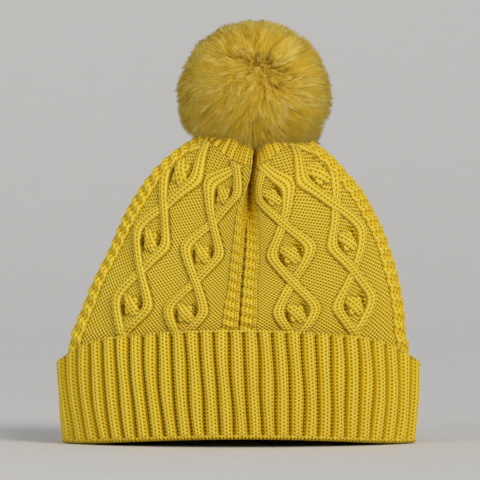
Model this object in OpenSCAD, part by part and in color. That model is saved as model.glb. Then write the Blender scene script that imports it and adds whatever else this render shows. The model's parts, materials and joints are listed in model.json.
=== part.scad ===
// Knitted beanie with a turned-up ribbed cuff and a press-on fur pom-pom.
// It stands on its cuff, a little opened: +Z is up, the front faces -Y, and the origin is the
// centre of the opening, in the plane that the cuff rests on. Millimetres.

/* [Hat] */
// Width across the cuff
hat_w = 237; // [215:1:260]
// Depth of the cuff, front to back
hat_d = 122; // [116:1:150]
// Height of the knitted crown, without the pom-pom
crown_h = 204; // [190:1:220]
// How far the top of the crown leans to the wearer's left
lean = 7.5; // [0:0.5:12]
// Thickness of the knitted crown
knit_t = 3.6; // [3:0.1:4.5]

/* [Cuff] */
// Height of the turned-up cuff
cuff_h = 72; // [60:1:80]
// Thickness of the turned-up rib layer
cuff_t = 6.2; // [4:0.1:7]
// Gap between the rib layer and the crown inside it
cuff_gap = 0.8; // [0.5:0.1:1.5]

/* [Pom-pom] */
// Outer diameter of the fur
pom_d = 98; // [80:1:120]
// Diameter of the gathered fur backing
skin_d = 34; // [28:1:38]
// Thickness of the fur backing
skin_t = 1.4; // [1:0.1:2]
// Slope of the hollow under the fur, which leaves room for the pom-pom to tilt
fur_cone = 19; // [18:1:25]

/* [Care label] */
// Width of the care label
label_w = 24; // [18:1:26]
// Length of the care label
label_l = 30; // [20:1:34]

/* [Press fastener] */
// Diameter of the socket
socket_d = 12.4; // [12:0.1:13]
// Radius of the socket's mouth
mouth_r = 3; // [2.95:0.05:3.1]
// Radius of the stud's bulb
bulb_r = 2.7; // [2.6:0.05:2.75]
// Radius of the rivet posts
post_r = 1.5; // [1.3:0.1:1.6]

/* [Hidden] */
$fn = 64;

knit_yellow = "#d9b32e";
fur_yellow = "#cfa63a";
nickel = "#c9ccd0";

side_n = 64;                    // points round a section of the hat
dome_n = 18;                    // sections up the dome
plump = 1.4;                    // section shape: 1 is an ellipse, 2 comes to a point at each side
dome_z = 50;                    // height where the crown starts to close
layer = cuff_t + cuff_gap;
band_a = hat_w / 2 - layer;     // half width of the crown inside the cuff
band_b = hat_d / 2 - layer;     // half depth of the crown inside the cuff
band_z = 4;                     // lower edge of the crown, above the fold of the cuff
fold_z = 3.4;                   // thickness of the fold that the crown stands in

eyelet_r = 6;                   // hole that the gathered top closes to
eyelet_drop = 7;                // how far the gathered centre is drawn down below the dome
eyelet_z = crown_h - eyelet_drop;
gather_r = 18;                  // radius where the draw-down starts
top_share = 0.985;              // share of the dome's height at which it flattens into the gather
lean_h = 80;                    // height over which the crown takes up its lean

gap = 0.1;                      // clearance between fitted metal and felt parts
felt_t = 1.5;
felt_r = 12;
disc_z = eyelet_z - knit_t - felt_t - 1;     // underside of the felt disc inside the crown
flange_r = socket_d / 2 - 0.4;
flange_t = 0.8;
floor_t = 0.8;                  // floor of the socket
socket_h = 3.7;
socket_z = eyelet_z + 0.3;
stud_z = socket_z + socket_h + 0.2;          // underside of the stud's flange
base_z = stud_z + flange_t + gap;            // underside of the pom-pom's base disc
cap_t = 0.6;                    // cap of the stud's rivet
pivot_z = base_z + felt_t + cap_t + 2 * gap; // height that the pom-pom's neck bends about

cord_r = 0.9;
cord_ring_r = 5;
cord_z = pivot_z + 2;
skin_r = skin_d / 2;
pom_z = pivot_z + skin_r + 4;

// A section of the hat: half width a, half depth b, at height z, with its centre at x = c.
function section(a, b, z, c, shape = plump) = [for (i = [0:side_n - 1])
    let (f = 360 * i / side_n)
    [c + a * sin(f), b * sign(cos(f)) * pow(abs(cos(f)), shape), z]];

function round_section(r, z) = section(r, r, z, lean, 1);

// The dome: share of the full width and depth left at share t of its height.
function dome_a(t) = pow(1 - pow(t, 1.12), 1 / 3);
function dome_b(t) = pow(1 - t * t, 0.4);

// Sideways shift of the crown at height z.
function lean_x(z) = let (u = min(max((z - cuff_h) / lean_h, 0), 1)) lean * (1 - (1 - u) * (1 - u));

// Sections from the lower edge to the eyelet, for a shell inset by `inset` from the outer face.
function shell(inset) =
    let (a = band_a - inset, b = band_b - inset, top = crown_h - inset)
    concat(
        [section(a, b, band_z, 0)],
        [for (k = [0:dome_n])
            let (t = top_share * sin(90 * k / dome_n), z = dome_z + (top - dome_z) * t)
            section(a * dome_a(t), b * dome_b(t), z, lean_x(z))],
        [round_section(gather_r, top - eyelet_drop / 2)],
        [round_section(eyelet_r, eyelet_z - inset)]);

function reversed(list) = [for (i = [len(list) - 1:-1:0]) list[i]];
function flat(list) = [for (part = list) for (item = part) item];

// Quads that join each ring of n points to the next, and the last ring to the first if `wrap`.
function ring_faces(rings, n, wrap) = [
    for (j = [0:rings - (wrap ? 1 : 2)], i = [0:n - 1])
    let (k = (j + 1) % rings, m = (i + 1) % n)
    [j * n + i, j * n + m, k * n + m, k * n + i]];

// A solid whose rings come back to where they start, such as a hollow shell.
module loop_solid(rings) {
    polyhedron(flat(rings), ring_faces(len(rings), len(rings[0]), true), convexity = 6);
}

// A solid through a list of rings, closed by its first and last ring.
module bar_solid(rings) {
    n = len(rings[0]);
    caps = [[for (i = [n - 1:-1:0]) i], [for (i = [0:n - 1]) (len(rings) - 1) * n + i]];
    polyhedron(flat(rings), concat(ring_faces(len(rings), n, false), caps), convexity = 6);
}

// Flat outline of the cuff, inset from its outer face.
module cuff_outline(inset) {
    polygon([for (p = section(hat_w / 2 - inset, hat_d / 2 - inset, 0, 0)) [p[0], p[1]]]);
}

module cuff_ring(z, h, wall) {
    translate([0, 0, z]) linear_extrude(h) difference() {
        cuff_outline(0);
        cuff_outline(wall);
    }
}

// Places its children on the axis of the gathered top, at height z.
module on_axis(z) {
    translate([lean, 0, z]) children();
}

module cord_ring(radius, thickness) {
    rotate_extrude() translate([radius, 0]) circle(thickness);
}

// The ribbed layer turned up outside the crown, with the fold that the hat rests on.
module turn_up_cuff() {
    color(knit_yellow) {
        cuff_ring(0, fold_z, layer + knit_t);
        cuff_ring(fold_z, cuff_h - fold_z, cuff_t);
    }
}

// The cable-knit tube: the ribbed band inside the cuff, the dome and its gathered top.
module crown_knit() {
    color(knit_yellow) loop_solid(concat(shell(0), reversed(shell(knit_t))));
}

// The linked seam up the inside of the back.
module back_seam() {
    seam_w = 5;
    seam_t = 1.8;
    seam_gap = 0.5;
    seam_top = 0.9;             // share of the dome's height that the seam reaches
    seam_b = band_b - knit_t - seam_gap;
    dome_h = crown_h - knit_t - seam_gap - dome_z;
    function strip(y, z) = let (left = lean_x(z) - seam_w / 2, right = left + seam_w)
        [[left, y - seam_t, z], [left, y, z], [right, y, z], [right, y - seam_t, z]];
    color(knit_yellow) bar_solid(concat(
        [strip(seam_b, band_z + 2)],
        [for (k = [0:dome_n])
            let (t = seam_top * sin(90 * k / dome_n))
            strip(seam_b * dome_b(t), dome_z + dome_h * t)]));
}

// The blank woven label beside the seam, inside the back. Its edge next to the seam is sewn down.
module care_label() {
    label_t = 0.6;
    label_x = 6;
    wall_gap = 6.4;             // from the crown's inner face at the band, where the dome leans in
    label_y = band_b - knit_t - wall_gap;
    color("white") translate([label_x, label_y, cuff_h + 2]) cube([label_w, label_t, label_l]);
}

// Two turns of the yarn that draws the top of the crown together.
module gather_yarn() {
    yarn_r = 0.8;
    ring_r = eyelet_r - yarn_r - 0.3;
    color(knit_yellow) for (turn = [0, 1])
        on_axis(eyelet_z - yarn_r - turn * (2 * yarn_r + gap)) cord_ring(ring_r, yarn_r);
}

module felt_disc() {
    difference() {
        cylinder(h = felt_t, r = felt_r);
        translate([0, 0, -1]) cylinder(h = felt_t + 2, r = post_r + gap);
    }
}

// The felt disc inside the crown that spreads the fastener's pull.
module crown_disc() {
    color(knit_yellow) on_axis(disc_z) felt_disc();
}

// The rivet that holds the socket. Its flange is inside the crown, under the felt disc.
module socket_rivet() {
    flange_z = disc_z - gap - flange_t;
    post_h = socket_z + floor_t + gap - flange_z;
    color(nickel) on_axis(flange_z) {
        cylinder(h = flange_t, r = flange_r);
        cylinder(h = post_h, r = post_r);
        translate([0, 0, post_h]) cylinder(h = 0.3, r = post_r + 0.7);
    }
}

// The socket on top of the crown: a cup with a chamber for the spring and a round mouth.
module snap_socket() {
    chamber_r = mouth_r + 0.7;
    lip_t = 0.8;
    color(nickel) on_axis(socket_z) difference() {
        cylinder(h = socket_h, r = socket_d / 2);
        translate([0, 0, -1]) cylinder(h = socket_h, r = post_r + gap);
        translate([0, 0, floor_t]) cylinder(h = socket_h - floor_t - lip_t, r = chamber_r);
        translate([0, 0, floor_t]) cylinder(h = socket_h, r = mouth_r);
    }
}

// The open spring ring in the socket's chamber, which grips the stud.
module snap_spring() {
    wire_r = 0.35;
    opening = 40;
    color(nickel) on_axis(socket_z + 2.3) rotate([0, 0, opening / 2])
        rotate_extrude(angle = 360 - opening) translate([bulb_r + gap + wire_r, 0]) circle(wire_r);
}

// The stud under the pom-pom: a flange, a waist that the spring closes on, and a bulb.
module snap_stud() {
    bulb_h = 0.9;
    bulb_z = socket_z + floor_t + 0.6;
    color(nickel) on_axis(0) difference() {
        union() {
            translate([0, 0, stud_z]) cylinder(h = flange_t, r = flange_r);
            translate([0, 0, bulb_z]) cylinder(h = stud_z - bulb_z + flange_t, r = bulb_r - 0.5);
            translate([0, 0, bulb_z]) cylinder(h = bulb_h, r = bulb_r);
        }
        translate([0, 0, bulb_z + 1]) cylinder(h = stud_z, r = post_r + gap);
    }
}

// The rivet that holds the stud, through the base disc.
module stud_rivet() {
    cap_z = base_z + felt_t + gap;
    foot_z = stud_z - 1;
    color(nickel) on_axis(0) {
        translate([0, 0, cap_z]) cylinder(h = cap_t, r = 4.3);
        translate([0, 0, foot_z]) cylinder(h = cap_z - foot_z, r = post_r);
    }
}

// The felt disc that closes the pom-pom's base.
module pom_base_disc() {
    color(fur_yellow) on_axis(base_z) felt_disc();
}

// The cord that draws the fur backing shut round the pom-pom's neck.
module pom_drawstring() {
    color(fur_yellow) on_axis(cord_z) cord_ring(cord_ring_r, cord_r);
}

// The fur's fabric backing, gathered to a hollow ball with a hole at the neck.
module pom_skin() {
    color(fur_yellow) on_axis(pom_z) difference() {
        sphere(skin_r);
        sphere(skin_r - skin_t);
        translate([0, 0, -skin_r - 1]) cylinder(h = skin_r, r = cord_ring_r);
    }
}

// The ball of fibre filling inside the backing.
module pom_filling() {
    color("white") on_axis(pom_z) sphere(skin_r - skin_t - 0.3);
}

// The pile of the fur, hollowed underneath so that the pom-pom can tilt over the crown.
module pom_fur() {
    reach = pom_d / 2 + 10;
    neck_r = 9;
    color(fur_yellow) on_axis(0) difference() {
        translate([0, 0, pom_z]) sphere(pom_d / 2);
        translate([0, 0, pom_z]) sphere(skin_r + 0.3);
        translate([0, 0, pivot_z]) rotate_extrude()
            polygon([[0, -reach], [reach, -reach], [reach, reach * tan(fur_cone)], [0, 0]]);
        translate([0, 0, pivot_z - 1]) cylinder(h = skin_r, r = neck_r);
    }
}

turn_up_cuff();
crown_knit();
back_seam();
care_label();
gather_yarn();
crown_disc();
socket_rivet();
snap_socket();
snap_spring();
snap_stud();
stud_rivet();
pom_base_disc();
pom_drawstring();
pom_skin();
pom_filling();
pom_fur();
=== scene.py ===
"""Looks of the knitted pom pom beanie. Lengths in here are millimetres until a mesh is made."""
import json
import math

import bpy
import numpy as np
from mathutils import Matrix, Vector

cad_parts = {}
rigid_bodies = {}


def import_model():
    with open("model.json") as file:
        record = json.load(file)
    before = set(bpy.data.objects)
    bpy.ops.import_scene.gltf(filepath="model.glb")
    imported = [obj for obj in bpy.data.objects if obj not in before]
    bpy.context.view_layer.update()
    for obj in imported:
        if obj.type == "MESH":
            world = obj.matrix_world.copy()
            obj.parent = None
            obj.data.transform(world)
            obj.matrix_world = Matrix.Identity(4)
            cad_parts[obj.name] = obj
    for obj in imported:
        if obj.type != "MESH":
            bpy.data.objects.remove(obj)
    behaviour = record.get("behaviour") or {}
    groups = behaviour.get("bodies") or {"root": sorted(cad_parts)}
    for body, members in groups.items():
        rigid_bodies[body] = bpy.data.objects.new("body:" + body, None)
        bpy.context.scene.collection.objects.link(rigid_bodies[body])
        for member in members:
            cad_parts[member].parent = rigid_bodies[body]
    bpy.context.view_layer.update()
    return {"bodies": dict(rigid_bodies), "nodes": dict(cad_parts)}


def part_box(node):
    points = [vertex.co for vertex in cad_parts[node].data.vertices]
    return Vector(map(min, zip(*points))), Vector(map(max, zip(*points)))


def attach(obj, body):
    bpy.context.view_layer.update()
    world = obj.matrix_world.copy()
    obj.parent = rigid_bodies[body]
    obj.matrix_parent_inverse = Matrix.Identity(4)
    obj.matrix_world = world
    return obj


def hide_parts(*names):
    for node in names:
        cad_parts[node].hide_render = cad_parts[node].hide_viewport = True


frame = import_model()


# -------- sizes, from the frame
def node_box(node):
    """Lowest and highest corner of a CAD node, in millimetres."""
    low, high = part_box(node)
    return np.array(low) * 1000, np.array(high) * 1000


_, (HALF_W, HALF_D, CUFF_TOP) = node_box("turn_up_cuff")
FUR_LOW, FUR_HIGH = node_box("pom_fur")
SKIN_LOW, SKIN_HIGH = node_box("pom_skin")
SOCKET_LOW, SOCKET_HIGH = node_box("snap_socket")

LEAN = (SOCKET_LOW[0] + SOCKET_HIGH[0]) / 2     # x of the axis through the crown's top and the pom-pom
EYELET_Z = SOCKET_LOW[2] - 0.3                  # top of the knit round the socket
EYELET_R = 5.5
CROWN_TOP = EYELET_Z + 7                        # height at which the dome's outline would close
POM_R = (FUR_HIGH[0] - FUR_LOW[0]) / 2
SKIN_R = (SKIN_HIGH[0] - SKIN_LOW[0]) / 2
POM_Z = (SKIN_LOW[2] + SKIN_HIGH[2]) / 2 + 0.4
POM_MIDDLE = np.array([LEAN, 0.0, POM_Z])

PLUMP = 1.4             # power of the cosine in the hat's section
DOME_Z = 50             # height where the crown starts to close
DOME_A = HALF_W - 7     # half width and depth of the dome at its start
DOME_B = HALF_D - 7
BAND_A = HALF_W - 10    # half width and depth of the crown's band inside the cuff
BAND_B = HALF_D - 10
KNIT_T = 3.4            # thickness of the crown
RIBS = 54               # ribs of the cuff and of the crown's band
ROW = 2.3               # height of a row of knit stitches
WALE = 2.15             # width of a column of knit stitches
PURL_W = 3.0            # pitch of the purl ground across, and of every second row up
PURL_H = 2.2
COLS = 20 * RIBS        # columns of mesh round the hat


# -------- meshes
def make_mesh(name, points, face_sets, attributes=None):
    """An object from points in millimetres and from arrays of faces, one array per corner count."""
    mesh = bpy.data.meshes.new(name)
    mesh.vertices.add(len(points))
    mesh.vertices.foreach_set("co", (points * 0.001).astype(np.float32).ravel())
    corners = np.concatenate([faces.ravel() for faces in face_sets])
    counts = np.concatenate([np.full(len(faces), faces.shape[1]) for faces in face_sets])
    starts = np.concatenate([[0], np.cumsum(counts)[:-1]])
    mesh.loops.add(len(corners))
    mesh.loops.foreach_set("vertex_index", corners.astype(np.int32))
    mesh.polygons.add(len(counts))
    mesh.polygons.foreach_set("loop_start", starts.astype(np.int32))
    mesh.update(calc_edges=True)
    mesh.polygons.foreach_set("use_smooth", np.full(len(counts), True))
    for key, values in (attributes or {}).items():
        layer = mesh.attributes.new(key, "FLOAT", "POINT")
        layer.data.foreach_set("value", np.asarray(values, np.float32).ravel())
    mesh.validate()
    obj = bpy.data.objects.new(name, mesh)
    bpy.context.scene.collection.objects.link(obj)
    return obj


def ring_quads(rows, cols, closed):
    """Quads between rings of points. The last ring joins the first if closed."""
    index = np.arange(rows * cols).reshape(rows, cols)
    right = np.roll(index, -1, axis=1)
    upper, upper_right = np.roll(index, -1, axis=0), np.roll(right, -1, axis=0)
    quads = np.stack([index, right, upper_right, upper], axis=-1)
    if not closed:
        quads = quads[:-1]
    return quads.reshape(-1, 4)


def grid_mesh(name, points, closed_rows=False, attributes=None):
    """A mesh of a grid of points that wraps round in its columns, and in its rows if asked."""
    rows, cols, _ = points.shape
    return make_mesh(name, points.reshape(-1, 3), [ring_quads(rows, cols, closed_rows)], attributes)


def loft(name, rings, attributes=None):
    """A solid through rings of points, closed by a fan at its first and at its last ring."""
    rows, cols, _ = rings.shape
    points = np.concatenate([rings.reshape(-1, 3), rings[:1].mean(axis=1), rings[-1:].mean(axis=1)])
    near = np.arange(cols)
    after = np.roll(near, -1)
    first, last = rows * cols, rows * cols + 1
    top = (rows - 1) * cols
    fans = np.concatenate([
        np.stack([after, near, np.full(cols, first)], axis=-1),
        np.stack([top + near, top + after, np.full(cols, last)], axis=-1)])
    padded = {}
    for key, values in (attributes or {}).items():
        padded[key] = np.concatenate([np.ravel(values), [values[0].mean(), values[-1].mean()]])
    return make_mesh(name, points, [ring_quads(rows, cols, False), fans], padded)


def full_turn(count):
    """Angles spread evenly round a circle."""
    return np.linspace(0, 2 * math.pi, count + 1)[:-1]


def circle(radius, z, turn, middle_x=LEAN):
    """Points round an upright axis, which is the pom-pom's own unless its x is given."""
    x, y = middle_x + radius * np.cos(turn), radius * np.sin(turn)
    return np.stack(np.broadcast_arrays(x, y, z), axis=-1)


def unit(vectors):
    return vectors / np.linalg.norm(vectors, axis=-1, keepdims=True)


def rounded_square(turn, power):
    """x and y round a square with rounded corners, which are sharper for a smaller power."""
    x, y = np.cos(turn), np.sin(turn)
    return np.sign(x) * np.abs(x) ** power, np.sign(y) * np.abs(y) ** power


def tube(name, paths, radius):
    """Closed loops of cord: radius depends on the share round a loop and the angle round the cord."""
    points, quads, shades, count = [], [], [], 0
    for path in paths:
        ahead = unit(np.roll(path, -1, axis=0) - np.roll(path, 1, axis=0))
        out = unit(np.cross(ahead, [0, 0, 1.0]))
        up = np.cross(out, ahead)
        angle = -full_turn(24)
        share = np.arange(len(path))[:, None] / len(path)
        r = radius(share, angle[None])
        ring = path[:, None] + out[:, None] * (r * np.cos(angle))[..., None]
        ring = ring + up[:, None] * (r * np.sin(angle))[..., None]
        points.append(ring.reshape(-1, 3))
        # shade is painted shade: darker where the cord is thinner, in the dips between plies and strands
        shades.append((r / r.max()).ravel())
        quads.append(ring_quads(len(path), len(angle), True) + count)
        count += ring.shape[0] * ring.shape[1]
    shade = {"shade": np.concatenate(shades)}
    return make_mesh(name, np.concatenate(points), [np.concatenate(quads)], shade)


def lumps(points, scale, seed):
    """Smooth disorder from -1 to 1 at each point: a few waves in random directions."""
    rng = np.random.default_rng(seed)
    total = np.zeros(points.shape[:-1])
    for _ in range(9):
        wave = unit(rng.normal(size=3)) * 2 * math.pi / (scale * rng.uniform(0.7, 1.6))
        total += np.sin(points @ wave + rng.uniform(0, 2 * math.pi))
    return total / 4


def smooth_step(x, low, high):
    """Rises smoothly from 0 at low to 1 at high."""
    t = np.clip((x - low) / (high - low), 0, 1)
    return t * t * (3 - 2 * t)


def bell(x, width):
    """A smooth bump: 1 at x = 0 and 0.37 at a width away."""
    return np.exp(-(x / width) ** 2)


# -------- the hat's surface
# tau runs once round the hat: 0 is the front, a quarter is the wearer's left (+X).
# q is the share of a quarter: 0 at the front or back centre line, 1 at either side.
def quarter_angle():
    """Angle round the section for q from 0 to 1: halfway between even in length and even in width."""
    angle = np.linspace(0, math.pi / 2, 2000)
    x = BAND_A * np.sin(angle)
    y = BAND_B * np.cos(angle) ** PLUMP
    length = np.concatenate([[0], np.cumsum(np.hypot(np.diff(x), np.diff(y)))])
    return angle, 0.5 * length / length[-1] + 0.5 * np.sin(angle)


ANGLE_TABLE, Q_TABLE = quarter_angle()


def fold_round(tau):
    """q, and the signs of x and y, at tau."""
    turn = (tau + 0.5) % 1 - 0.5
    side = np.where(turn < 0, -1.0, 1.0)
    quarter = np.abs(turn) * 4
    front = quarter <= 1
    return np.where(front, quarter, 2 - quarter), side, np.where(front, -1.0, 1.0)


def section(q, side, facing, half_w, half_d):
    """x and y on a section of the hat."""
    angle = np.interp(q, Q_TABLE, ANGLE_TABLE)
    x = side * half_w * np.sin(angle)
    y = facing * half_d * np.cos(angle).clip(0) ** PLUMP
    return x, y


def dome(t):
    """Shares of the dome's width and depth that are left at share t of its height."""
    wide = (1 - t ** 1.27).clip(0) ** 0.385
    deep = (1 - t * t).clip(0) ** 0.4
    return wide, deep


def lean_at(z):
    """How far the middle of the hat has moved toward the wearer's left at a height."""
    u = np.clip((z - CUFF_TOP) / 80, 0, 1)
    return LEAN * (1 - (1 - u) ** 2)


# -------- stitches
# u counts stitches across and r counts rows up. Both heights run from about -1 to 1.
def purl_height(u, r):
    """Small bumps with hollow dots between them, set in a diagonal lattice. The material paints the hollows
    dark as painted shade.
    """
    wave = 0.56 * np.cos(2 * math.pi * (u + r)) + 0.44 * np.cos(2 * math.pi * (u - r))
    return 1 - 2 * ((1 - wave) / 2) ** 1.5


def knit_height(u, r):
    """Columns of V stitches, each with a small hole where its two legs meet."""
    across = (u + 0.5) % 1 - 0.5
    middle = bell(across, 0.19)
    hole = middle * (0.22 + 0.78 * (0.5 + 0.5 * np.cos(2 * math.pi * r)) ** 1.1)
    legs = np.cos(2 * math.pi * (r + 0.9 * np.abs(across) + 0.5))
    return 0.6 - 1.5 * hole + 0.25 * legs * (1 - middle)


class Rings:
    """Rings of points up a piece of the hat, with the stitch values that its material reads."""

    # depth is painted shade: the knit material darkens the colour where it is high, in hollows, folds and
    # inner faces
    keys = ("su", "sr", "kind", "depth")

    def __init__(self):
        self.points = []
        self.values = {key: [] for key in self.keys}

    def add(self, points, su, sr, kind, depth):
        """One ring, with its values as numbers or as one for each point."""
        self.points.append(points)
        for key, value in zip(self.keys, (su, sr, kind, depth)):
            self.values[key].append(np.broadcast_to(value, points.shape[:-1]))

    def add_grid(self, points, *values):
        for row in range(len(points)):
            self.add(points[row], *(np.broadcast_to(v, points.shape[:-1])[row] for v in values))

    def mesh(self, name):
        stacked = {key: np.stack(rows) for key, rows in self.values.items()}
        return grid_mesh(name, np.stack(self.points), True, stacked)


# -------- cuff
CUFF_LIFT = 3.1     # height of the cuff's ribs
HEM_R = 2.2         # height of the rounded lower edge
RIM_R = 1.6         # depth of the rounded upper edge
LIP = 1.0           # height of the plain edge above the ribs
FOLD = 5.2          # half the thickness of the cuff at its fold
FOLD_SKIM = 0.3     # how far the fold stays behind the ribs' tops
INNER_LOW = 4.4     # lowest height of the cuff's inner face


def cuff_width(z):
    """Half width of the cuff's outer face: it bulges in the middle."""
    return HALF_W + 0.9 - 4.8 * (1 - np.sin(math.pi * (z + 4) / 100))


def rib(tau):
    """Height of a rib from 0 in the valley to 1, and the place across it from -0.5 to 0.5."""
    across = (tau * RIBS + 0.5) % 1 - 0.5
    ridge = (1 - np.abs(across / 0.415).clip(0, 1) ** 2.5) ** 0.75
    return ridge, across


def cuff_edge(tau):
    """Heights of the cuff's lower and upper edge: the front arches up and the sides dip."""
    q, _, facing = fold_round(tau)
    share = np.sin(np.interp(q, Q_TABLE, ANGLE_TABLE))
    low = np.where(facing < 0, 5.0, 0.2) * (1 - share ** 2) ** 1.3
    high = CUFF_TOP + 2.8 - 9 * share ** 2 - 14 * share ** 8
    return low, high


def make_cuff():
    """The turned-up cuff, from its fold round the lower edge, up and over the upper edge."""
    tau = np.arange(COLS) / COLS
    low, high = cuff_edge(tau)
    ridge, across = rib(tau)
    wale = across * HALF_W * 2 * 2.05 / RIBS / WALE
    inner_w = BAND_A + 2.9
    rings = Rings()

    def add(inset, z, row, depth, knit=1.0):
        """A ring. The ribs lean a little, more on the wearer's right, and waver."""
        slant = 0.0048 * (z - 36) / 36 * (0.5 + 0.5 * np.cos(2 * math.pi * (tau - 0.86)))
        waver = 0.0006 * np.sin(2 * math.pi * (9 * tau + z / 60))
        waver = waver + 0.0003 * np.sin(2 * math.pi * 31 * tau + z / 7)
        q, side, facing = fold_round(tau - slant + waver)
        half_w = np.broadcast_to(cuff_width(z) - inset, tau.shape)
        x, y = section(q, side, facing, half_w, half_w - HALF_W + HALF_D)
        rings.add(np.stack(np.broadcast_arrays(x, y, z), axis=-1), wale, row, knit, depth)

    # the hem, from inside the fold
    # the depth given to each ring is painted shade: 0.3 on the hem, 0.1 on the rim, 0.6 on the inner face
    # and the way back
    for turn in np.linspace(0, math.pi, 17)[:-1]:
        add(FOLD + FOLD * math.cos(turn) + FOLD_SKIM, low + HEM_R - HEM_R * math.sin(turn) ** 0.7, 0.0, 0.3)

    # the outer face
    for v in np.linspace(0, 1, 150):
        z = low + HEM_R + (high - low - HEM_R - RIM_R) * v
        up, down = z - low, high - z
        ends = smooth_step(up, 1.8, 4.2) * smooth_step(down, LIP, LIP + 1.8)
        row = up / ROW + 0.5 * np.round(wale)
        stitch = np.where(ridge > 0.3, knit_height(wale, row), 0.6 * np.cos(2 * math.pi * row) - 0.4)
        bead = 0.45 * np.cos(2 * math.pi * wale) * bell(up - 2.6, 1.1)
        height = CUFF_LIFT * ridge * ends + (CUFF_LIFT - 0.8) * (1 - ends) + 0.34 * stitch + bead
        # valley is painted shade: the colour darkens down in the valleys between the ribs
        valley = (1 - ridge) ** 1.5 * ends * 0.75
        add(CUFF_LIFT - height, z, row, valley, smooth_step(ridge, 0.2, 0.4))

    # the rim
    for v in np.linspace(0, 1, 9)[1:-1]:
        turn = math.pi * v
        inset = 2.2 - 1.5 * math.cos(turn) - 0.8 * ridge * (1 - v)
        z = high - RIM_R + (1.2 + 0.5 * ridge) * math.sin(turn)
        add(inset, z, (high - low) / ROW, 0.1)

    # the inner face, and back across to the hem
    for v in np.linspace(0, 1, 24):
        z = high - RIM_R - (high - low - RIM_R - INNER_LOW) * v
        wall = smooth_step(v, 0.0, 0.25)
        inset = 3.7 + (cuff_width(z) - inner_w - 3.7) * wall + 0.25 * (1 - ridge)
        add(inset, z, (z - low) / ROW, 0.6)

    back = cuff_width(low) - inner_w
    for v in np.linspace(0, 1, 9)[1:-1]:
        inset = back + (2 * FOLD + FOLD_SKIM - back) * v
        add(inset, low + INNER_LOW - 1.4 * v - 0.8 * v ** 6, 0.0, 0.6)
    return rings.mesh("knitted_cuff")


# -------- crown
CHAIN_Q = (0.32, 0.655)     # chains of lozenges, as shares of a quarter
CHAIN_BOW = (0.0, 0.063)    # how far each chain bows out toward the side at its middle
CHAIN_EARLY = (0.0, 0.11)   # how much sooner each chain crosses at its middle
CHAIN_END = 0.845           # height share where the chains run into the gathered top
CHAIN_START = 0.105         # height share of the first crossing
CHAIN_STEP = 0.242          # height share from crossing to crossing
DOME_MM = 172.0             # length of the dome's surface from band to top
DOME_SHARE = 0.985          # share of the dome's height below the gathered top
BAND_FOOT = 4.6             # height of the band's lower end over the cuff's edge
ROPE_D = 5.7                # distance of a rope's middle from the centre line
ROPE_HALF = 5.1             # half the width of a rope
ROPE_TURN = 6.7             # length of a rope's twist
CORD_W = 3.6                # half the width of a chain's cord
CORD_LIFT = 2.6             # height of a chain's cord


def cord(offset, lift):
    """A raised cord of a chain: its height, and how far across it a point is."""
    inside = np.abs(offset) / CORD_W
    return lift * (1 - inside.clip(0, 1) ** 2.4) ** 0.6, inside


def band(d, up, tilt, wide_r, long_r):
    """Coordinates along and across a small leaf that leans by tilt, and its bulge."""
    long = up * np.cos(tilt) - d * np.sin(tilt)
    wide = d * np.cos(tilt) + up * np.sin(tilt)
    bulge = (1 - np.hypot(wide / wide_r, long / long_r) ** 2.4).clip(0) ** 0.7
    return long, wide, bulge


def nub(d, up, tilt):
    """The small cable inside a lozenge: a band to the lower right over another, with a gap each side."""
    long, wide, upper = band(d, up, tilt, 4.2, 9.0)
    _, _, lower = band(d, up, tilt - math.radians(72), 3.2, 7.0)
    twist = 1 - 0.25 * np.abs(np.cos(math.pi * (wide - 0.25 * long) / 3.4)) ** 6
    leaf = np.maximum(2.8 * upper * twist, 1.3 * lower)
    rho = np.hypot(d / 5.9, up / 8.0)
    spin = np.arctan2(up / 8.0, d / 5.9)
    gap = bell(rho - 1.06, 0.19) * np.abs(np.cos(spin - 0.25)) ** 3
    return leaf, gap, wide / 2.3 + 0.5, (long + 0.5 * wide) / 2.5


def lozenges(d, p, tilt, early):
    """Relief, stitch coordinates and masks of one chain, at d mm from its centre line."""
    turn = (p - CHAIN_START) / CHAIN_STEP
    turn = turn + early * np.sin(math.pi * turn / 3)
    reach = 11.6 - 2.0 * smooth_step(p, 0.5, 0.85)
    sway = reach * np.arcsin(0.95 * np.sin(math.pi * turn)) / math.asin(0.95)
    odd = np.round(turn) % 2 == 1
    over_place = np.where(odd, sway, -sway)
    crossing = bell((turn + 0.5) % 1 - 0.5, 0.11)
    over, over_in = cord(d - over_place, CORD_LIFT)
    under, under_in = cord(d + over_place, CORD_LIFT - 2.2 * crossing)
    use_over = over >= under
    offset = np.where(use_over, d - over_place, d + over_place)
    on = np.where(use_over, over_in, under_in) < 1
    near_edge = (np.minimum(over_in, under_in) - 1.1) * CORD_W
    height = np.where(on, np.maximum(over, under), -0.55 * bell(near_edge, 0.6))

    up = ((turn % 1) - 0.46) * CHAIN_STEP * DOME_MM
    leaf, gap, nub_u, nub_r = nub(d, up, tilt)
    within = ~on & (np.abs(d) < np.abs(sway))
    height = np.where(within, np.maximum(leaf, height) - 2.4 * gap, height)
    on_nub = within & (leaf > 0.15)
    u = np.where(on_nub, nub_u, offset / 2.5 + 0.5)
    r = np.where(on_nub, nub_r, p * DOME_MM * 1.12 / ROW)
    return height, u, r, on | on_nub


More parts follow.
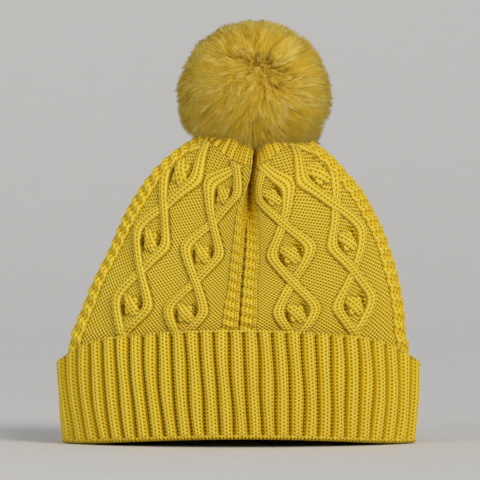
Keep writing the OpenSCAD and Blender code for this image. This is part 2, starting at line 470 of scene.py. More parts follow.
def ropes(d, mm, edged):
    """Relief, stitch values and painted groove shade of the twisted rope on each side of a centre line."""
    from_middle = d - np.where(d > 0, ROPE_D, -ROPE_D)
    inside = np.abs(from_middle) / ROPE_HALF
    body = 2.1 * (1 - inside.clip(0, 1) ** 2.2) ** 0.6
    twist = 2 * math.pi * (mm / ROPE_TURN + np.where(d > 0, 0.0, 0.31) + 0.05 * from_middle)
    lump = np.cos(twist) * (1 - inside.clip(0, 1) ** 2.5)
    notch = (0.5 - 0.5 * np.cos(twist)) ** 3
    gap = -(0.55 + 0.65 * notch) * bell(d, 1.0)
    gap = gap - 0.5 * notch * bell((inside - 1) * ROPE_HALF - 0.2, 0.8)
    from_edge = from_middle - 3.7
    edge = 0.9 * bell(from_edge, 1.1) * edged
    plain = edged & (from_edge > -1.2)
    u = np.where(plain, from_edge / 2.4, from_middle / 2.6 + 0.18 * np.sin(twist))
    r = mm / ROW + np.where(plain, 0, 0.22 * from_middle)
    kind = np.where(plain, 1.0, 0.9)
    # painted shade: this darkens the colour in the notches between the rope's lumps and beside its raised
    # edge column
    painted_groove_shade = np.where(plain, 0, 0.25 * notch) + 0.3 * bell(from_edge + 1.6, 0.5) * edged
    on = inside < 1
    return np.where(on, body + lump + edge, 0) + gap, on, u, r, kind, painted_groove_shade * on


def crown_point(q, side, facing, p, inset):
    """Position on the dome at height share p, before its relief, and its share of the height."""
    power = 1 + 0.75 * q * q + 0.8 * q * q * smooth_step(p, 0.55, 0.9)
    t = (1 - (1 - p) ** power) * DOME_SHARE
    z = DOME_Z + (CROWN_TOP - inset - DOME_Z) * t
    wide, deep = dome(t)
    swell = 2 * smooth_step(z, DOME_Z, DOME_Z + 14)
    half_w = np.minimum(BAND_A + swell, DOME_A * wide) - inset
    half_d = np.minimum(BAND_B + swell, DOME_B * deep) - inset
    angle = np.interp(q, Q_TABLE, ANGLE_TABLE)
    share = np.sin(angle)
    pull = smooth_step(t, 0.42, 0.78)
    share = share * (1 - 0.4 * pull * (1 - share) ** 1.3)
    x = side * half_w.clip(1) * share + lean_at(z)
    y = facing * half_d.clip(1) * np.cos(angle).clip(0) ** PLUMP
    return np.stack([x, y, z], axis=-1), t


def crease(q, way, facing, t, p, mm_across):
    """The pleat up the middle of the front and back: how far in, and how far across, it moves."""
    d = q * mm_across * way
    mid = q < 0.55
    fade = 1 - 0.7 * smooth_step(p, 0.9, 1)
    power = smooth_step(t, 0.42, 0.80) * np.where(facing < 0, 1.0, 0.5) * fade
    lip = smooth_step(t, 0.60, 0.80) * np.where(facing < 0, 1.0, 0.3) * (1 - smooth_step(p, 0.92, 1))
    inward = -14.0 * power * bell(d - 3.2, 7.0) * mid
    inward = inward + (4.4 * bell(d + 12, 7) + 2.2 * bell(d - 19, 8)) * power * mid
    across = lip * 4.6 * bell(d + 8.5, 6.0) * mid
    gathered = 3.0 * smooth_step(t, 0.2, 0.37) + 6.0 * smooth_step(t, 0.64, 0.86)
    gathered = gathered * np.where(facing < 0, 1.0, 0.5)
    reach = smooth_step(np.abs(d), np.where(d > 0, 3, 0), np.where(d > 0, 19, 16))
    reach = reach * (1 - smooth_step(q, 0.36, 0.62))
    drift = 3.0 * smooth_step(t, 0.05, 0.4) * (1 - smooth_step(t, 0.75, 0.95)) * (facing < 0)
    across = across - np.sign(d) * gathered * reach - drift * bell(d, 45)
    return inward, across


def crown_pattern(q, way, p, mm_across):
    """Relief, stitch values and painted groove shade over the dome."""
    mm = p * DOME_MM
    zero = 0 * mm_across * q
    purl_u = (q - 0.5) * mm_across * way / PURL_W
    purl_r = mm / PURL_H + zero
    gather = smooth_step(p, 0.845, 0.86) + zero > 0.5
    mm_top = mm_across[np.searchsorted(p[:, 0], 0.88)]
    su = np.where(gather, (q - 0.5) * mm_top * way / 1.95, purl_u)
    sr = np.where(gather, mm / ROW, purl_r)
    height = 0.8 * smooth_step(p, 0.84, 0.865) * np.cos(2 * math.pi * (q - 0.5) * mm_top / 3.6)
    knit = gather.copy()
    tilt = np.radians(np.where(way < 0, 52, 38))
    for chain, bow, early in zip(CHAIN_Q, CHAIN_BOW, CHAIN_EARLY):
        d = (q - chain - bow * bell(p - 0.62, 0.25)) * mm_across * way
        relief, u, r, on = lozenges(d, p + zero, tilt, early)
        near = (np.abs(d) < 16.5) & (p < CHAIN_END)
        height = np.where(near & (on | (np.abs(relief) > 0.02)), relief, height)
        su = np.where(near & on, u, su)
        sr = np.where(near & on, r, sr)
        knit |= near & on
    rope_d = np.where(q < 0.5, q, q - 1) * mm_across * way
    relief, on, u, r, rope_kind, painted_groove_shade = ropes(rope_d, mm + zero, q + zero < 0.5)
    near = (np.abs(rope_d) < 12.0) & (p < 0.90)
    height = np.where(near, relief, height)
    su = np.where(near & on, u, su)
    sr = np.where(near & on, r, sr)
    kind = np.where(near & on, rope_kind, np.where(knit, 1.0, 0.0))
    return height, su, sr, kind, painted_groove_shade * near


def band_ring(tau, v, inset):
    """A ring of the crown's plain band, at share v of the way up to the dome."""
    q, side, facing = fold_round(tau)
    low, _ = cuff_edge(tau)
    z = low + BAND_FOOT + (DOME_Z - low - BAND_FOOT) * v
    x, y = section(q, side, facing, BAND_A - inset, BAND_B - inset)
    return np.stack([x, y, z], axis=-1)


def add_top(rings, last, wave, su, sr):
    """The gathered top, from the dome's last ring in to the eyelet."""
    heading = np.unwrap(np.arctan2(last[:, 1], last[:, 0] - LEAN))
    even = heading[0] + (heading[-1] - heading[0]) * np.arange(COLS) / (COLS - 1)
    reach = np.hypot(last[:, 0] - LEAN, last[:, 1])
    for v in np.linspace(0, 1, 33)[1:]:
        ease = smooth_step(v, 0, 1)
        angle = heading * (1 - ease) + even * ease
        radius = reach * (1 - v) + 6.2 * v + 0.4 * wave * v
        z = last[:, 2] * (1 - ease) + (EYELET_Z - 0.3 + 0.5 * wave) * ease
        # painted shade in the folds as they gather in; the eyelet ring gets some too
        rings.add(circle(radius, z, angle), su, sr + 9 * v, 1.0, (0.5 - 0.5 * wave) * 0.7)
    rings.add(circle(EYELET_R, EYELET_Z - 2.2, even), su, 0.0, 1.0, 0.3)


def make_crown():
    """The crown, up its outside, over the gathered top and down its inside."""
    tau = (np.arange(COLS) + 0.5) / COLS
    q, side, facing = fold_round(tau)
    way = -side * facing        # the side as seen from outside: 1 is to the right
    p_rows = np.linspace(0, 1, 345)
    p = p_rows[:, None]
    base, t = crown_point(q, side, facing, p, 0.0)
    wide, _ = dome(t)
    mm_across = np.minimum(BAND_A, DOME_A * wide) * 1.06
    height, su, sr, kind, painted_groove_shade = crown_pattern(q, way, p, mm_across)

    _, edge = cuff_edge(tau)
    held = 0.4 + 0.6 * smooth_step(base[..., 2], edge - 5, edge + 6)
    height = height * held * (1 - smooth_step(p, 0.92, 1.0))
    # painted shade: the colour darkens where the relief sinks and in the rope's painted grooves
    depth = np.maximum(np.clip(-height / 2.4, 0, 1), painted_groove_shade)
    stitch = np.where(kind > 0.5, 0.30 * knit_height(su, sr), 0.34 * purl_height(su, sr))
    folds = 26
    wave = np.cos(2 * math.pi * (tau * folds + 0.3 * np.sin(8 * math.pi * tau)))
    pleat = smooth_step(p, 0.86, 0.98)
    height = height + stitch + 1.5 * pleat * wave
    # painted shade in the folds of the gathered top
    depth = np.maximum(depth, pleat * (0.5 - 0.5 * wave) * 0.6)

    inward, across = crease(q, way, facing, t, p, mm_across)
    rumple = 0.7 * lumps(base, 38.0, 21) * smooth_step(p, 0.05, 0.3) * (1 - smooth_step(p, 0.85, 1))
    normal = normals(base)
    along = unit(np.roll(base, -1, axis=1) - np.roll(base, 1, axis=1))
    outer = base + along * across[..., None] + normal * (height + inward + rumple)[..., None]
    # painted shade down in the pleat
    depth = np.maximum(depth, np.clip(-inward / 20, 0, 0.65))

    rings = Rings()
    ridge, rib_across = rib(tau)
    wale = rib_across * 4.2
    knit = smooth_step(ridge, 0.2, 0.4)
    for v in np.linspace(0, 1, 47)[:-1]:
        ring = band_ring(tau, v, 1.3 * (1 - ridge) * (1 - smooth_step(v, 0.85, 1)))
        # painted shade in the band's rib valleys
        rings.add(ring, wale, ring[:, 2] / ROW, knit, (1 - ridge) * 0.75)
    rings.add_grid(outer, su, sr, kind, depth)
    add_top(rings, outer[-1], wave, su[-1], sr[-1])
    # the inside faces get a little painted shade (depth 0.2)
    for share in np.linspace(1, 0, 40):
        inside, _ = crown_point(q, side, facing, np.full_like(q, share), KNIT_T)
        row = int(round(share * (len(p_rows) - 1)))
        inside = inside + normal[row] * np.minimum(inward[row], 0)[:, None]
        rings.add(inside, su[row], inside[:, 2] / ROW, 0.0, 0.2)
    for v in np.linspace(1, 0, 9)[1:]:
        ring = band_ring(tau, v, KNIT_T)
        rings.add(ring, wale, ring[:, 2] / ROW, 1.0, 0.2)
    return rings.mesh("knitted_crown")


def normals(points):
    """Outward normals of a grid that wraps round in its columns."""
    along = np.roll(points, -1, axis=1) - np.roll(points, 1, axis=1)
    up = np.gradient(points, axis=0)
    n = np.cross(along, up)
    return n / np.linalg.norm(n, axis=-1, keepdims=True).clip(1e-9)


# -------- pom-pom
PIVOT_Z = POM_Z - SKIN_R - 4
UNDER_R = 38.0          # reach of the dense underfur
UNDER_SLOPE = 0.344     # slope of the hollow under the pom-pom
STRANDS = 60000
WISPS = 7600            # strands that share a tip and a tone
LOCKS = 460             # wisps that lie the same way
STRAND_R = (0.27, 0.27, 0.20)   # radius of a strand at its first three points
FUR_GROUPS = 4


def even_directions(count, rng):
    """Directions spread evenly over a ball, with a little disorder."""
    k = np.arange(count) + 0.5
    up = 1 - 2 * k / count
    turn = k * math.pi * (3 - math.sqrt(5))
    flat = np.sqrt(1 - up * up)
    ordered = np.stack([flat * np.cos(turn), flat * np.sin(turn), up], axis=-1)
    return unit(ordered + rng.normal(0, 1.2 / math.sqrt(count), ordered.shape))


def nearest_of(points, centres):
    return np.concatenate([(part @ centres.T).argmax(axis=1) for part in np.array_split(points, 24)])


def outside_crown(points, clearance=4.0):
    """Points moved outward to where they clear the crown, and how far each had to move."""
    z = points[..., 2]
    t = ((z - DOME_Z) / (CROWN_TOP - DOME_Z)).clip(0, 0.999)
    wide, deep = dome(t)
    half_w = DOME_A * wide + clearance
    half_d = DOME_B * deep + clearance
    x, y = points[..., 0] - lean_at(z), points[..., 1]
    level = (x / half_w) ** 2 + np.abs(y / half_d) ** (2 / PLUMP)
    inside = (level < 1) & (z < CROWN_TOP)
    grow = np.where(inside, 1 / np.sqrt(level.clip(0.02)), 1.0)
    moved = points.copy()
    moved[..., 0] = lean_at(z) + x * grow
    moved[..., 1] = y * grow
    return moved, np.linalg.norm(moved - points, axis=-1)


def flow(directions):
    """How strands lean over: away from a crown of the pile at the front and back, in broad sweeps."""
    front = -np.sign(directions[:, 1:2])
    pole = unit(np.concatenate([0.10 + 0 * front, -front, 0.20 + 0 * front], axis=-1))
    along = (pole * directions).sum(axis=-1, keepdims=True)
    away = along * directions - pole
    sweep = np.stack([lumps(directions * 10, 11.0, seed) for seed in (31, 32, 33)], axis=-1)
    comb = 0.80 * along.clip(0) * smooth_step(1 - along, -0.01, 0.16)
    parting = bell(1 - along, 0.09) * np.array([-0.22, 0.0, -0.26])
    return comb * away + 0.10 * sweep + parting


def hang_limit(x):
    """Lowest z of the fur's edge over the crown."""
    return 200.5 - 5.0 * smooth_step(x, -12, 4) - 5.5 * bell(x - 8, 9)


def make_wisps(rng):
    """Each wisp's direction, lean, reach and tone. The wisps of a lock lie much the same way."""
    lock_out = even_directions(LOCKS, rng)
    lock_lean = rng.normal(0, 0.085, (LOCKS, 3))
    lock_reach = rng.normal(0, 0.8, LOCKS)
    out = even_directions(WISPS, rng)
    lock = nearest_of(out, lock_out)
    lean = flow(out) + lock_lean[lock] + rng.normal(0, 0.045, (WISPS, 3))
    reach = POM_R + 2.0 - np.abs(rng.normal(0, 3.2, WISPS)) + lock_reach[lock]
    tone = (0.5 + 0.24 * rng.normal(size=WISPS) + 0.14 * rng.normal(size=LOCKS)[lock]).clip(0, 1)
    return out, lean, reach, tone


def strand_paths(rng):
    """Four points up each strand, with its wisp and tone. Tips are drawn toward the wisp's."""
    out = even_directions(STRANDS, rng)
    out = out[out[:, 2] > -0.86]
    count = len(out)
    wisp_out, wisp_lean, wisp_reach, wisp_tone = make_wisps(rng)
    wisp = nearest_of(out, wisp_out)

    lean = wisp_lean[wisp] + rng.normal(0, 0.05, (count, 3))
    reach = wisp_reach[wisp] + rng.normal(0, 1.0, count)
    own_tip = unit(out + lean) * reach[:, None]
    shared_tip = (unit(wisp_out + wisp_lean) * wisp_reach[:, None])[wisp]
    draw = np.where(rng.random(count) < 0.15, 0.1, rng.uniform(0.55, 0.9, count))
    tip = own_tip + (shared_tip - own_tip) * draw[:, None]
    tip = tip + POM_MIDDLE + [2.6, 0, -1.6]
    limit = hang_limit(tip[:, 0]) + rng.normal(0, 1.2, WISPS)[wisp]
    tip[:, 2] = np.maximum(tip[:, 2], limit)

    flat = np.hypot(out[:, 0], out[:, 1])
    under = (POM_Z - PIVOT_Z) / (UNDER_SLOPE * flat - out[:, 2]).clip(0.01)
    root_r = np.minimum(UNDER_R - 3, under).clip(SKIN_R)
    root = out * root_r[:, None] + POM_MIDDLE
    knee = unit(out + 0.3 * lean) * (root_r + 0.55 * (reach - root_r))[:, None] + POM_MIDDLE
    along = np.array([0.0, 0.4, 0.75, 1.0])[:, None, None]
    path = (1 - along) ** 2 * root + 2 * along * (1 - along) * knee + along ** 2 * tip
    path, moved = outside_crown(path)
    keep = moved.max(axis=0) < 9
    wisp = wisp[keep]
    return path[:, keep], wisp, wisp_tone[wisp]


def make_fur():
    """Groups of closed, tapered strands, three-sided, each with ten points."""
    rng = np.random.default_rng(7)
    path, wisp, wisp_tone = strand_paths(rng)
    count = len(wisp)
    ahead = unit(path[3] - path[1])
    side = unit(np.cross(ahead, rng.normal(size=(count, 3))))
    over = np.cross(ahead, side)
    points = np.zeros((count, 10, 3))
    for ring, radius in enumerate(STRAND_R):
        for corner in range(3):
            turn = 2 * math.pi * corner / 3
            across = side * math.cos(turn) + over * math.sin(turn)
            points[:, ring * 3 + corner] = path[ring] + across * radius
    points[:, 9] = path[3]
    along = np.repeat([0.0, 0.45, 0.8, 1.0], [3, 3, 3, 1])
    tone = 0.8 * wisp_tone + 0.2 * rng.random(count)

    base = np.arange(3)
    after = np.roll(base, -1)
    sides = [np.stack([base + r, after + r, after + r + 3, base + r + 3], axis=-1) for r in (0, 3)]
    sides = np.concatenate(sides)
    ends = np.concatenate([[[2, 1, 0]], np.stack([base + 6, after + 6, np.full(3, 9)], axis=-1)])
    made = []
    for number in range(FUR_GROUPS):
        mine = wisp % FUR_GROUPS == number
        first = (np.arange(mine.sum()) * 10)[:, None, None]
        faces = [(sides + first).reshape(-1, 4), (ends + first).reshape(-1, 3)]
        shades = {"along": np.tile(along, mine.sum()), "tone": np.repeat(tone[mine], 10)}
        made.append(make_mesh(f"pom_fur_pile_{number + 1}", points[mine].reshape(-1, 3), faces, shades))
    return made


def make_underfur():
    """The dense underfur round the backing, hollowed underneath like the CAD's fur."""
    turn = full_turn(240)
    rise = POM_Z - PIVOT_Z
    steep = 1 + UNDER_SLOPE ** 2
    drop = UNDER_SLOPE * rise
    rim = (drop + math.sqrt(drop ** 2 - steep * (rise ** 2 - UNDER_R ** 2))) / steep
    rim_angle = math.pi / 2 - math.asin((UNDER_SLOPE * rim - rise) / UNDER_R)
    neck = 9.0
    hollow = SKIN_R + 0.3
    inner_angle = math.pi - math.asin(neck / hollow)
    profile = [(UNDER_R * math.sin(a), UNDER_R * math.cos(a)) for a in np.linspace(0.02, rim_angle, 90)]
    profile += [(r, UNDER_SLOPE * r - rise) for r in np.linspace(rim, neck, 26)[1:]]
    outside = len(profile)
    profile += [(hollow * math.sin(a), hollow * math.cos(a)) for a in np.linspace(inner_angle, 0.03, 50)]
    rings = np.stack([circle(r, z, turn, 0.0) for r, z in profile])
    rough = 1.1 * lumps(rings, 7.0, 41) + 0.6 * lumps(rings, 3.0, 42)
    rough[outside:] = 0
    rings = rings + unit(rings) * rough[..., None] + POM_MIDDLE
    # painted shade: along 0.3 gives the underfur the darker root colour, and its tone is lighter on its
    # bumps and darker in its dips
    shades = {"along": np.full(rough.shape, 0.3), "tone": (0.4 + 0.25 * rough).clip(0, 1)}
    return loft("pom_underfur", rings[:, ::-1], shades)


def make_skin():
    """The fur's backing: a hollow ball of jersey, puckered where the cord draws in its neck."""
    turn = full_turn(144)
    neck = math.asin(5.0 / SKIN_R)
    down = np.linspace(0.02, math.pi - neck, 60)
    profile = [(SKIN_R - 0.1, a) for a in down] + [(SKIN_R - 1.4, a) for a in down[::-1]]
    rings = []
    for radius, a in profile:
        pucker = 0.45 * smooth_step(a, 1.9, 2.7) * np.cos(22 * turn)
        jersey = 0.12 * np.cos(72 * turn) * np.cos(radius * a * 5) * math.sin(a)
        r = radius - 0.3 + np.minimum(pucker + jersey, 0.3)
        rings.append(circle(r * math.sin(a), POM_Z + r * math.cos(a), turn))
    rings = np.stack(rings)[:, ::-1]
    return loft("pom_backing", rings, {"shade": np.full(rings.shape[:2], 0.5)})


def make_filling():
    """A lumpy ball of fibre."""
    turn = full_turn(96)
    up = np.linspace(math.pi - 0.03, 0.03, 60)
    ball = np.stack([circle(math.sin(a), math.cos(a), turn, 0.0) for a in up])
    reach = SKIN_R - 2.7 + 0.7 * lumps(ball * 10, 6.0, 3) + 0.25 * lumps(ball * 10, 2.0, 4)
    rings = ball * reach[..., None] + POM_MIDDLE
    return loft("pom_stuffing", rings, {"shade": np.full(rings.shape[:2], 0.5)})


# -------- small soft pieces
def make_yarn():
    """Two turns of three-ply yarn inside the gathered top."""
    low, high = node_box("gather_yarn")
    thick = 0.8
    ring_r = (high[0] - low[0]) / 2 - thick

    def ply(share, angle):
        return 0.56 + 0.24 * np.abs(np.cos(1.5 * angle + 2 * math.pi * 9 * share))

    loops = [circle(ring_r, z, full_turn(240)) for z in (high[2] - thick, low[2] + thick)]
    return tube("gather_yarn_loops", loops, ply)


def make_cord():
    """Braided cord round the pom-pom's neck."""
    low, high = node_box("pom_drawstring")
    thick = (high[2] - low[2]) / 2

    def braid(share, angle):
        one = np.cos(4 * angle + 2 * math.pi * 22 * share)
        two = np.cos(4 * angle - 2 * math.pi * 22 * share)
        return thick * (0.80 + 0.2 * np.maximum(one, two))

    loop = circle((high[0] - low[0]) / 2 - thick, (low[2] + high[2]) / 2, full_turn(320))
    return tube("pom_neck_cord", [loop], braid)


def make_felt(name, node, seed):
    """A felt disc with soft edges and a hole for the rivet."""
    low, high = node_box(node)
    outer, inner = (high[0] - low[0]) / 2, 1.65
    thick = high[2] - low[2]
    turn = full_turn(180)
    edge = np.linspace(-math.pi / 2, math.pi / 2, 8)
    profile = [(r, -0.5) for r in np.linspace(inner + 0.3, outer - 0.7, 24)]
    profile += [(outer - 0.7 + 0.65 * math.cos(a), 0.5 * math.sin(a)) for a in edge[1:-1]]
    profile += [(r, 0.5) for r in np.linspace(outer - 0.7, inner + 0.3, 24)]
    profile += [(inner + 0.3 - 0.25 * math.cos(a), -0.5 * math.sin(a)) for a in edge[1:-1]]
    rings = np.stack([circle(r, share * (thick - 0.25), turn) for r, share in profile])
    rough = lumps(rings, 2.2, seed)
    rings[..., 2] += (low[2] + high[2]) / 2 + 0.09 * rough
    rings[..., :2] += (rings[..., :2] - [LEAN, 0]) * (0.008 * rough)[..., None]
    return grid_mesh(name, rings, True, {"shade": 0.5 + 0.3 * rough})


def make_seam():
    """The linked seam up the inside of the back: a bar of chain stitches that follows the crown."""
    low, high = node_box("back_seam")
    wide, thick = 5.0, 1.5
    length = np.linspace(0, 1, 420)
    top = (high[2] - DOME_Z) / (CROWN_TOP - DOME_Z)
    z = low[2] + (high[2] - low[2]) * length
    share = ((z - DOME_Z) / (CROWN_TOP - KNIT_T - DOME_Z)).clip(0, top) / DOME_SHARE
    one = np.ones_like(z)
    share = share.clip(0, 1)
    wall, t = crown_point(0 * z, one, one, share, KNIT_T + 0.7)
    y = np.where(z < DOME_Z, BAND_B - KNIT_T - 0.7, wall[:, 1])
    sink, _ = crease(0 * z, one, one, t, share, one * BAND_A)
    y = y + np.where(z < DOME_Z, 0, np.minimum(sink, 0))
    middle = np.stack([lean_at(z), y, z], axis=-1)
    across, out = rounded_square(full_turn(32), 0.6)
    link = np.cos(2 * math.pi * (z[:, None] / 2.4 + 0.5 * np.abs(across)))
    half = wide / 2 * (0.93 + 0.07 * np.cos(2 * math.pi * z / 2.4))
    x = middle[:, :1] + half[:, None] * across
    depth = thick / 2 * out * (0.86 + 0.14 * link)
    steps = np.arange(len(z))
    ends = (np.minimum(steps, steps[::-1])[:, None] / 6).clip(0.15, 1)
    y = middle[:, 1:2] - thick / 2 - 0.1 + depth * ends ** 0.5
    rings = np.stack(np.broadcast_arrays(x, y, z[:, None]), axis=-1)
    # shade is painted shade: lighter on the chain links, darker between them
    return loft("linked_back_seam", rings, {"shade": 0.5 + 0.4 * link})


def make_label():
    """The blank woven label: a folded, slightly curling sheet with stitches along its edges."""
    low, high = node_box("care_label")
    wide, tall = high[0] - low[0], high[2] - low[2]
    across, face = rounded_square(full_turn(260), 0.35)
    u = (across + 1) / 2
    rings = []
    for v in np.linspace(0, 1, 61):
        inset = 0.35 * (max(0.06 - v, v - 0.94, 0) / 0.06) ** 2
        x = low[0] + inset + u * (wide - 2 * inset)
        z = low[2] + v * tall
        curl = -1.1 * u ** 2 * (0.4 + 0.6 * math.cos(math.pi * (v - 0.45)))
        curl = curl - 0.35 * np.sin(2 * math.pi * (u + v))
        stitch = bell(u * wide - 1.4, 0.35) + bell(wide * (1 - u) - 1.6, 0.35)
        stitch = stitch * (0.5 + 0.5 * np.sin(2 * math.pi * v * 24))
        stitch = stitch * smooth_step(min(v, 1 - v), 0.04, 0.07)
        thick = 0.22 + 0.14 * stitch
        y = (low[1] + high[1]) / 2 + curl * u + face * thick
        rings.append(np.stack(np.broadcast_arrays(x, y, z), axis=-1))
    rings = np.stack(rings)
    return loft("blank_care_label", rings, {"shade": np.full(rings.shape[:2], 0.5)})


# -------- node materials
class Term:
    """A number in a node material. Sums, products and powers of terms become math nodes."""

    def __init__(self, shader, socket):
        self.shader = shader
        self.socket = socket

    def math(self, operation, *others):
        made = self.shader.node("ShaderNodeMath", enumerate((self, *others)), operation=operation)
        return Term(self.shader, made.outputs[0])

    def __add__(self, other):
        return self.math("ADD", other)

    def __mul__(self, other):
        return self.math("MULTIPLY", other)

    def __sub__(self, other):
        return self.math("SUBTRACT", other)

    def __rsub__(self, other):
        return self * -1.0 + other

    def __pow__(self, other):
        return self.math("POWER", other)

    def wave(self):
        """Cosine of this many turns."""
        return (self * (2 * math.pi)).math("COSINE")


class Shader:
    """A few short names for building a node material."""

    def __init__(self, name, roughness=0.8):
        self.material = bpy.data.materials.new(name)
        self.material.use_nodes = True
        self.tree = self.material.node_tree
        self.surface = self.tree.nodes["Principled BSDF"]
        self.set("Roughness", roughness)

    def put(self, value, target):
        """Gives an input a plain value or links it to an output."""
        if isinstance(value, Term):
            value = value.socket
        if isinstance(value, bpy.types.NodeSocket):
            self.tree.links.new(value, target)
        else:
            target.default_value = value

    def node(self, kind, inputs=(), **settings):
        """A new node, with pairs of an input's name or number and what goes into it."""
        made = self.tree.nodes.new(kind)
        for key, value in settings.items():
            setattr(made, key, value)
        for key, value in inputs:
            self.put(value, made.inputs[key])
        return made

    def set(self, name, value):
        self.put(value, self.surface.inputs[name])

    def attribute(self, name):
        return Term(self, self.node("ShaderNodeAttribute", attribute_name=name).outputs["Fac"])

    def place(self):
        return self.node("ShaderNodeTexCoord").outputs["Object"]

    def noise(self, scale, detail=2.0):
        inputs = [("Scale", scale), ("Detail", detail), ("Vector", self.place())]
        return Term(self, self.node("ShaderNodeTexNoise", inputs).outputs["Fac"])

    def mix(self, factor, a, b):
        return self.node("ShaderNodeMix", [(0, factor), (6, a), (7, b)], data_type="RGBA").outputs[2]

    def ramp(self, factor, stops):
        made = self.node("ShaderNodeValToRGB", [(0, factor)])
        ramp = made.color_ramp
        while len(ramp.elements) < len(stops):
            ramp.elements.new(0.5)
        for element, (place, colour) in zip(ramp.elements, stops):
            element.position = place
            element.color = (*colour, 1)
        return made.outputs[0]

    def vector(self, operation, *values):
        return self.node("ShaderNodeVectorMath", enumerate(values), operation=operation).outputs[0]

    def ball_normal(self, middle, share):
        """The normal turned toward a ball's, so that a pile of strands is lit as one mass."""
        out = self.vector("SUBTRACT", self.place(), middle)
        turned = self.node("ShaderNodeVectorTransform", [(0, out)],
                           vector_type="NORMAL", convert_from="OBJECT", convert_to="WORLD")
        own = self.node("ShaderNodeNewGeometry").outputs["Normal"]
        round_one = self.vector("NORMALIZE", turned.outputs[0])
        mixed = self.node("ShaderNodeMix", [(0, share), (4, own), (5, round_one)], data_type="VECTOR")
        return self.vector("NORMALIZE", mixed.outputs[1])

    def bump(self, height, distance, strength=1.0):
        inputs = [("Distance", distance), ("Strength", strength), ("Height", height)]
        self.set("Normal", self.node("ShaderNodeBump", inputs).outputs[0])


def knit_material():
    """Mustard yarn. The stitch formulas are those of the relief, here as colour and fine bump. In the
    colour they are painted shade in holes and hollows and painted highlight on the stitch tops, and depth
    adds painted shade.
    """
    s = Shader("mustard_knit", roughness=0.85)
    su, sr, kind, depth = (s.attribute(key) for key in Rings.keys)
    across = ((su + 100.5).math("FRACT") - 0.5).math("ABSOLUTE")
    middle = (across * across * -27.7).math("EXPONENT")
    hole = middle * ((sr.wave() * 0.5 + 0.5) ** 1.1 * 0.78 + 0.22)
    legs = (across * 0.9 + sr + 0.5).wave() * (1 - middle)
    knit = hole * -1.5 + 0.6 + legs * 0.25
    lattice = (su + sr).wave() * 0.56 + (su - sr).wave() * 0.44
    purl = ((1 - lattice) * 0.5) ** 1.5 * -2.0 + 1.0
    stitch = knit * kind + purl * (1 - kind)
    fuzz = s.noise(2600, 3)
    patch = s.noise(38, 3)
    # painted shade and highlight: stitch holes, valleys and depth darken the colour, stitch tops lighten it
    level = stitch * 0.40 + 0.60 + (fuzz - 0.5) * 0.5 - depth * 0.5
    # the ramp runs from painted shade at the bottom to painted highlight at the top
    colour = s.ramp(level, [
        (0.0, (0.12, 0.060, 0.000)),
        (0.3, (0.44, 0.258, 0.000)),
        (0.6, (0.84, 0.545, 0.006)),
        (1.0, (1.00, 0.830, 0.150)),
    ])
    s.set("Base Color", s.mix(patch * 0.25, colour, (0.66, 0.42, 0.006, 1)))
    s.set("Specular IOR Level", 0.06)
    s.set("Sheen Weight", 0.03)
    s.set("Sheen Roughness", 0.5)
    s.set("Sheen Tint", (1.0, 0.80, 0.25, 1))
    s.bump(fuzz * 0.35 + stitch, 0.00045)
    return s.material


def fur_material():
    """Fur: each wisp has its tone, roots are darker as painted shade deep in the pile, and a little light
    shines through.
    """
    s = Shader("mustard_fur", roughness=0.55)
    # painted shade: along darkens the strands toward their roots, since the strands cast no shadow
    colour = s.ramp(s.attribute("tone") * 0.60 + s.attribute("along") * 0.44, [
        (0.10, (0.22, 0.125, 0.002)),
        (0.36, (0.63, 0.385, 0.010)),
        (0.66, (0.96, 0.665, 0.052)),
        (1.00, (1.00, 0.880, 0.270)),
    ])
    s.set("Base Color", colour)
    s.set("Specular IOR Level", 0.2)
    s.set("Sheen Weight", 0.15)
    s.set("Sheen Tint", (1.0, 0.9, 0.45, 1))
    s.set("Normal", s.ball_normal(POM_MIDDLE * 0.001, 0.65))
    glow = s.node("ShaderNodeBsdfTranslucent", [("Color", colour)])
    blend = s.node("ShaderNodeMixShader", [(0, 0.18), (1, s.surface.outputs[0]), (2, glow.outputs[0])])
    output = next(n for n in s.tree.nodes if n.type == "OUTPUT_MATERIAL")
    s.put(blend.outputs[0], output.inputs["Surface"])
    return s.material


def fabric_material(name, dark, light, grain, roughness=0.9):
    """Plain soft fabric: two tones from the shade of the mesh and from fine noise."""
    s = Shader(name, roughness=roughness)
    fine, broad = s.noise(grain, 4), s.noise(grain / 12, 2)
    level = broad * 0.25 + (fine * 0.5 + s.attribute("shade") * 0.4)
    s.set("Base Color", s.ramp(level, [(0.2, dark), (0.85, light)]))
    s.set("Sheen Weight", 0.25)
    s.bump(fine, 0.0002, 0.8)
    return s.material


def label_material():
    """White satin ribbon with a fine weave and no print."""
    s = Shader("woven_label", roughness=0.6)
    weave = s.node("ShaderNodeTexWave", [("Scale", 900), ("Vector", s.place())],
                   wave_type="BANDS", bands_direction="Z")
    thread = s.noise(1800, 3) * 0.4 + Term(s, weave.outputs["Fac"]) * 0.5
    s.set("Base Color", s.ramp(thread, [(0.1, (0.72, 0.70, 0.66)), (0.9, (0.92, 0.91, 0.88))]))
    s.bump(thread, 0.00008, 0.7)
    return s.material


def nickel_material():
    """Nickel plate, a little uneven from handling."""
    s = Shader("brushed_nickel")
    wear = s.noise(700, 5)
    s.set("Metallic", 1.0)
    s.set("Base Color", s.ramp(wear, [(0.3, (0.52, 0.51, 0.48)), (0.7, (0.72, 0.71, 0.69))]))
    s.set("Roughness", wear * 0.25 + 0.2)
    s.bump(wear, 0.00002, 0.5)
    return s.material


# -------- stage, light and camera
def add_light(name, kind, energy, colour, toward, **settings):
    """A light that shines in a direction."""
    data = bpy.data.lights.new(name, kind)
    data.energy = energy
    data.color = colour
    for key, value in settings.items():
        setattr(data, key, value)
    lamp = bpy.data.objects.new(name, data)
    lamp.rotation_mode = "QUATERNION"
    lamp.rotation_quaternion = Vector(toward).to_track_quat("-Z", "Y")
    bpy.context.scene.collection.objects.link(lamp)
    return lamp


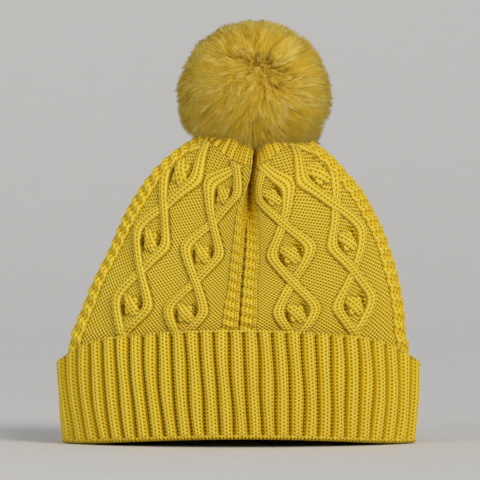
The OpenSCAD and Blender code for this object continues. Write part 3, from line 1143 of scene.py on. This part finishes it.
def make_stage():
    """A pale floor that curves up far away, and soft light from the upper right."""
    flat, edge, rise = 3.2, 14.0, 0.022
    radii = np.concatenate([[0.0005], np.linspace(0.3, flat, 10), np.linspace(flat + 0.3, edge, 26)])
    turn = full_turn(96)
    rings = np.stack([circle(r, rise * max(r - flat, 0) ** 2, turn, 0.0) for r in radii])
    floor = grid_mesh("floor", rings * 1000)
    s = Shader("pale_floor", roughness=0.95)
    s.set("Base Color", s.mix(s.noise(14, 4), (0.71, 0.70, 0.68, 1), (0.75, 0.74, 0.725, 1)))
    floor.data.materials.append(s.material)
    world = bpy.data.worlds.new("studio")
    world.use_nodes = True
    sky = world.node_tree.nodes["Background"]
    sky.inputs["Color"].default_value = (0.96, 0.97, 1.0, 1)
    sky.inputs["Strength"].default_value = 0.38
    bpy.context.scene.world = world
    add_light("key", "SUN", 1.5, (1.0, 0.975, 0.93), (-0.80, 1.0, -0.90), angle=math.radians(26))
    fill_place, fill_aim = Vector((-1.0, -1.3, 0.7)), Vector((0, 0, 0.12))
    fill = add_light("fill", "AREA", 5, (0.92, 0.96, 1.0), fill_aim - fill_place, shape="DISK", size=1.0)
    fill.location = fill_place


def make_camera():
    """A long lens, level with the hat. It draws back as the pom-pom rises, to keep it in view."""
    data = bpy.data.cameras.new("camera")
    data.lens = 300
    data.sensor_width = 36
    cam = bpy.data.objects.new("camera", data)
    bpy.context.scene.collection.objects.link(cam)
    view_width = 0.312      # width of the view at the hat
    cam.location = (0.0007, -view_width * data.lens / data.sensor_width, 0.132)
    cam.rotation_euler = (math.radians(90), 0, 0)
    follow = cam.constraints.new("TRANSFORM")
    follow.target = frame["bodies"]["pom"]
    follow.map_from = follow.map_to = "LOCATION"
    follow.mix_mode = "ADD"
    follow.from_min_z = follow.target.matrix_world.translation.z
    full_rise = 0.078       # rise of the pom-pom at which the camera is fully back
    follow.from_max_z = follow.from_min_z + full_rise
    follow.map_to_x_from = follow.map_to_y_from = follow.map_to_z_from = "Z"
    follow.to_max_y = -0.75
    follow.to_max_z = 0.036
    bpy.context.scene.camera = cam
    bpy.context.scene.view_settings.view_transform = "Standard"


# -------- the hat
def place(obj, material, body, slot, *nodes):
    """Gives a piece its material, and puts it on a body in place of CAD nodes."""
    obj.data.materials.append(material)
    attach(obj, body)
    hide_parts(*nodes)


knit = knit_material()
place(make_crown(), knit, "crown", "knit", "crown_knit")
place(make_cuff(), knit, "cuff", "knit", "turn_up_cuff")

yarn = fabric_material("mustard_yarn", (0.40, 0.24, 0.006), (0.84, 0.60, 0.07), 2200)
place(make_seam(), yarn, "crown", "knit", "back_seam")
place(make_yarn(), yarn, "crown", "knit", "gather_yarn")

fur = fur_material()
for part in make_fur():
    part.visible_shadow = False     # the underfur casts the shadow, so that light reaches into the pile
    place(part, fur, "pom", "fur", "pom_fur")
place(make_underfur(), fur, "pom", "fur", "pom_fur")
backing = fabric_material("fur_backing", (0.26, 0.14, 0.008), (0.50, 0.31, 0.03), 1500)
place(make_skin(), backing, "pom", "backing", "pom_skin")
stuffing = fabric_material("white_stuffing", (0.74, 0.73, 0.70), (0.93, 0.93, 0.91), 1100)
place(make_filling(), stuffing, "pom", "filling", "pom_filling")
cord_look = fabric_material("braided_cord", (0.36, 0.21, 0.01), (0.78, 0.55, 0.08), 2600)
place(make_cord(), cord_look, "pom_neck", "cord", "pom_drawstring")

felt = fabric_material("mustard_felt", (0.46, 0.29, 0.015), (0.76, 0.53, 0.06), 1300)
place(make_felt("felt_disc_in_crown", "crown_disc", 11), felt, "crown", "felt", "crown_disc")
place(make_felt("felt_disc_of_pom", "pom_base_disc", 12), felt, "pom_base", "felt", "pom_base_disc")
place(make_label(), label_material(), "label", "label", "care_label")

nickel = nickel_material()
for node in ("socket_rivet", "snap_socket", "snap_spring", "snap_stud", "stud_rivet"):
    part = frame["nodes"][node]
    part.data.materials.clear()
    part.data.materials.append(nickel)

make_stage()
make_camera()
